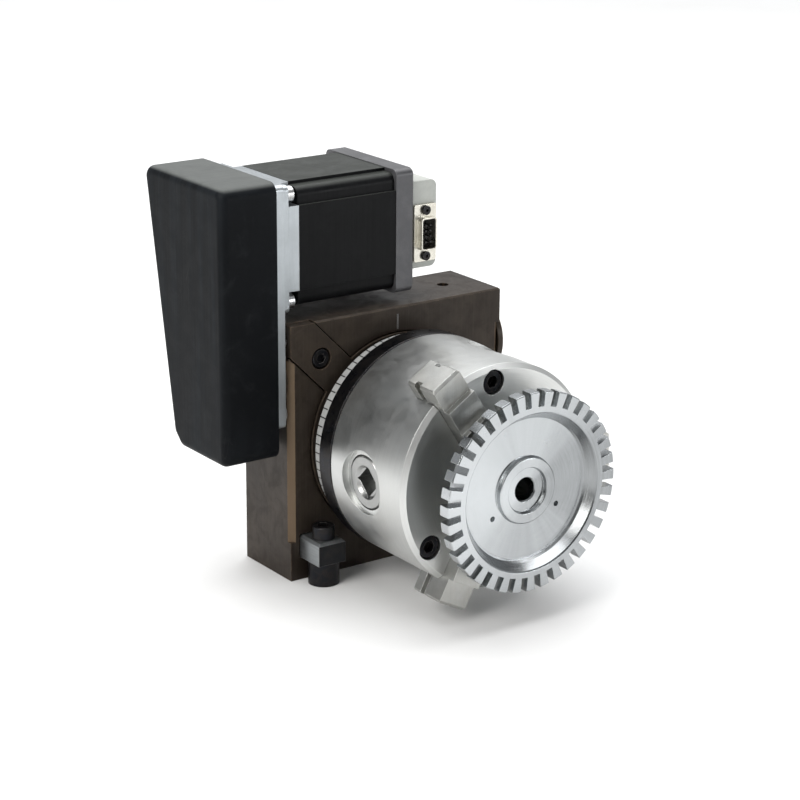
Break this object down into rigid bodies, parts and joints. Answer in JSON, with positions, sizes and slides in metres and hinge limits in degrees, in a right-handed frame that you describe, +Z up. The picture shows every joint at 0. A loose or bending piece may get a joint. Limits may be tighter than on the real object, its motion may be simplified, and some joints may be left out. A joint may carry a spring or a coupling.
{
  "type": "motor-driven indexing head with three-jaw chuck and index plate",
  "caption": "Upright indexing head: block housing, graduated ring, three-jaw scroll chuck holding a slotted index plate, turned by a worm from a belt-driven step motor under a black side cover.",
  "frame": {"origin": "middle of the housing foot, under the spindle axis, at the height of the table it stands on", "axes": "+Z up; -Y is the way the chuck and its plate face, the spindle axis runs along Y; +X is across the head, and the belt cover is on the -X side"},
  "size_m": [0.1519, 0.1632, 0.1816],
  "materials": {
    "brown_steel": "burnished dark brown, fine ground",
    "black_oxide_screws": "black oxide",
    "black_oxide_ring": "black oxide, turned",
    "engraved_mark": "light filled line",
    "bearing_steel": "polished",
    "turned_steel": "turned",
    "satin_ring": "satin, fine graduations",
    "ground_steel": "ground and turned",
    "hard_steel": "hardened, ground",
    "bright_aluminium": "bright machined",
    "cast_aluminium": "die cast, satin",
    "dark_bell": "dark grey, satin",
    "motor_black": "black, semi-gloss, laminated",
    "black_plastic": "moulded, fine grain",
    "black_insert": "moulded",
    "nickel": "nickel plated",
    "zinc": "zinc plated",
    "belt_rubber": "matt",
    "bronze": "machined bronze",
    "grey_steel": "milled"
  },
  "bodies": {
    "head": {"bearing_flange": "brown_steel", "bearing_flange_screws": "black_oxide_screws", "belt_cover": "black_plastic", "belt_cover_screws": "black_oxide_screws", "connector_box": "black_plastic", "connector_insert": "black_insert", "connector_screws": "zinc", "connector_shell": "nickel", "drive_plate": "cast_aluminium", "drive_plate_screws": "black_oxide_screws", "drive_plate_spacers": "turned_steel", "front_bearing_balls": "bearing_steel", "front_bearing_outer_ring": "bearing_steel", "hold_down_clamp_left": "grey_steel", "hold_down_clamp_right": "grey_steel", "hold_down_screws": "black_oxide_screws", "hold_down_sleeves": "black_oxide_screws", "housing": "brown_steel", "index_mark": "engraved_mark", "motor_front_bell": "cast_aluminium", "motor_rear_bell": "dark_bell", "motor_rear_screws": "black_oxide_screws", "motor_screws": "zinc", "motor_stator": "motor_black", "rear_bearing_balls": "bearing_steel", "rear_bearing_outer_ring": "bearing_steel", "rear_cover": "brown_steel", "rear_cover_screws": "black_oxide_screws", "timing_belt": "belt_rubber", "worm_bearing_balls": "bearing_steel", "worm_bearing_outer_rings": "bearing_steel", "worm_cap_left": "brown_steel", "worm_cap_right": "brown_steel", "worm_cap_screws": "black_oxide_screws"},
    "spindle_unit": {"spindle": "turned_steel", "worm_wheel": "bronze", "front_bearing_inner_ring": "bearing_steel", "rear_bearing_inner_ring": "bearing_steel", "spindle_lock_nut": "black_oxide_screws", "scale_ring": "satin_ring", "chuck_flange": "black_oxide_ring", "chuck_flange_screws": "black_oxide_screws", "chuck_body": "ground_steel", "chuck_back_cover": "ground_steel", "chuck_back_cover_screws": "black_oxide_screws", "chuck_screws": "black_oxide_screws"},
    "worm_unit": {"worm_shaft": "turned_steel", "worm_bearing_inner_rings": "bearing_steel", "worm_pulley": "cast_aluminium", "worm_pulley_grub_screw": "black_oxide_screws"},
    "motor_unit": {"motor_rotor_shaft": "turned_steel", "motor_pulley": "cast_aluminium"},
    "scroll_unit": {"scroll_plate": "hard_steel"},
    "pinion_unit_1": {"pinion_1": "hard_steel"},
    "pinion_unit_2": {"pinion_2": "hard_steel"},
    "pinion_unit_3": {"pinion_3": "hard_steel"},
    "jaw_unit_1": {"jaw_1": "hard_steel"},
    "jaw_unit_2": {"jaw_2": "hard_steel"},
    "jaw_unit_3": {"jaw_3": "hard_steel"},
    "disc_unit": {"index_disc": "bright_aluminium"}
  },
  "joints": [
    {"name": "spindle_turn", "type": "hinge", "parent": "head", "child": "spindle_unit", "pos_m": [0, 0, 0.06], "axis": [0, -1, 0], "continuous": true},
    {"name": "worm_turn", "type": "hinge", "parent": "head", "child": "worm_unit", "pos_m": [0, 0, 0.0915], "axis": [1, 0, 0], "continuous": true},
    {"name": "motor_turn", "type": "hinge", "parent": "head", "child": "motor_unit", "pos_m": [0, 0.0132, 0.15036], "axis": [1, 0, 0], "continuous": true},
    {"name": "scroll_turn", "type": "hinge", "parent": "spindle_unit", "child": "scroll_unit", "pos_m": [0, 0, 0.06], "axis": [0, -1, 0], "range_deg": [0, 300]},
    {"name": "pinion_1_turn", "type": "hinge", "parent": "spindle_unit", "child": "pinion_unit_1", "pos_m": [0, -0.0633, 0.06], "axis": [0.999, 0, 0.0436], "range_deg": [0, 1125]},
    {"name": "pinion_2_turn", "type": "hinge", "parent": "spindle_unit", "child": "pinion_unit_2", "pos_m": [0, -0.0633, 0.06], "axis": [-0.4617, 0, -0.887], "range_deg": [0, 1125]},
    {"name": "pinion_3_turn", "type": "hinge", "parent": "spindle_unit", "child": "pinion_unit_3", "pos_m": [0, -0.0633, 0.06], "axis": [-0.5373, 0, 0.8434], "range_deg": [0, 1125]},
    {"name": "jaw_1_slide", "type": "slide", "parent": "spindle_unit", "child": "jaw_unit_1", "axis": [-0.5373, 0, 0.8434], "range_m": [0, 0.005]},
    {"name": "jaw_2_slide", "type": "slide", "parent": "spindle_unit", "child": "jaw_unit_2", "axis": [-0.4617, 0, -0.887], "range_m": [0, 0.005]},
    {"name": "jaw_3_slide", "type": "slide", "parent": "spindle_unit", "child": "jaw_unit_3", "axis": [0.999, 0, 0.0436], "range_m": [0, 0.005]},
    {"name": "disc_off", "type": "slide", "parent": "spindle_unit", "child": "disc_unit", "axis": [0, -1, 0], "range_m": [0, 0.03]}
  ],
  "couplings": [
    {"joint": "worm_turn", "follows": "spindle_turn", "ratio": 40},
    {"joint": "motor_turn", "follows": "spindle_turn", "ratio": 80},
    {"joint": "pinion_1_turn", "follows": "scroll_turn", "ratio": 3.75},
    {"joint": "pinion_2_turn", "follows": "scroll_turn", "ratio": 3.75},
    {"joint": "pinion_3_turn", "follows": "scroll_turn", "ratio": 3.75},
    {"joint": "jaw_1_slide", "follows": "scroll_turn", "m_per_rad": 0.00095493},
    {"joint": "jaw_2_slide", "follows": "scroll_turn", "m_per_rad": 0.00095493},
    {"joint": "jaw_3_slide", "follows": "scroll_turn", "m_per_rad": 0.00095493}
  ]
}
